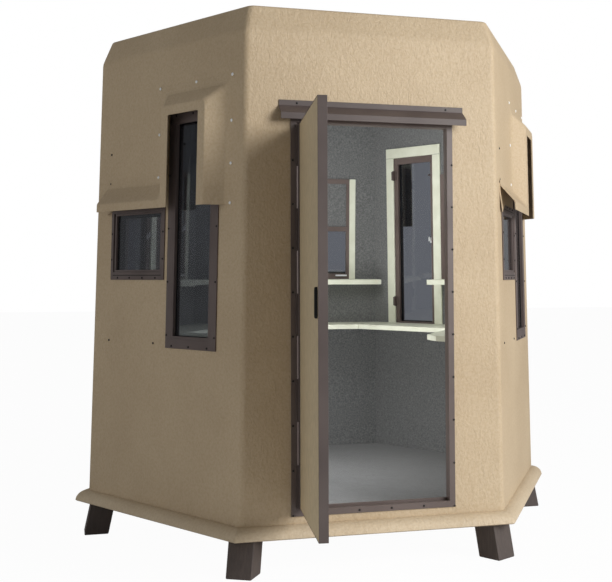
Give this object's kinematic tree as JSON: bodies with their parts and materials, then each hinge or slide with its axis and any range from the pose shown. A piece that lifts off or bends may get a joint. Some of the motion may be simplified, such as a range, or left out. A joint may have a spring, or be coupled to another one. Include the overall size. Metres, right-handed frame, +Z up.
{
  "type": "hexagonal hunting blind",
  "caption": "Six-sided fibreglass deer blind on short splayed legs, with hooded windows round it, carpeted inside with a shelf, and an outward-opening hinged door.",
  "frame": {"origin": "on the ground, under the middle of the blind's outline with its door standing open", "axes": "+Z up; +Y from the door side through to the back wall; +X to the right as seen when facing the door"},
  "size_m": [2.0912, 2.3509, 2.089],
  "materials": {
    "shell": "tan gel-coated fibreglass with an orange-peel texture",
    "frame": "satin dark brown coated aluminium",
    "leg": "matt dark brown",
    "wall_carpet": "short grey needle-felt carpet",
    "floor_carpet": "pale grey loop carpet",
    "deck": "plain plywood",
    "board": "cream painted board",
    "door_skin": "tan gel-coated fibreglass skin",
    "glass": "smoked glass",
    "pull": "black moulded plastic"
  },
  "bodies": {
    "blind": {"base_skirt": "shell", "floor_deck": "deck", "floor_carpet": "floor_carpet", "legs": "leg", "front_lining": "wall_carpet", "roof": "shell", "ceiling": "wall_carpet", "window_glass": "glass", "shelf": "board", "window_ledges": "board", "door_frame": "frame", "drip_cap": "frame", "door_hinge": "frame", "front_wall_left": "shell", "front_wall_right": "shell", "front_wall_head": "shell", "front_wall_sill": "shell", "left_wall": "shell", "left_lining": "wall_carpet", "left_hood": "shell", "left_windows": "frame", "left_casing": "board", "left_back_wall": "shell", "left_back_lining": "wall_carpet", "left_back_hood": "shell", "left_back_windows": "frame", "left_back_casing": "board", "back_wall": "shell", "back_lining": "wall_carpet", "back_hood": "shell", "back_windows": "frame", "back_casing": "board", "right_back_wall": "shell", "right_back_lining": "wall_carpet", "right_back_hood": "shell", "right_back_windows": "frame", "right_back_casing": "board", "right_wall": "shell", "right_lining": "wall_carpet", "right_hood": "shell", "right_windows": "frame", "right_casing": "board"},
    "door": {"door_leaf": "door_skin", "door_edge": "frame", "door_pull": "pull"}
  },
  "joints": [
    {"name": "door_swing", "type": "hinge", "parent": "blind", "child": "door", "pos_m": [-0.287, -0.61493, 0.23529], "axis": [0, 0.0216, 0.9998], "range_deg": [-69, 96]}
  ]
}
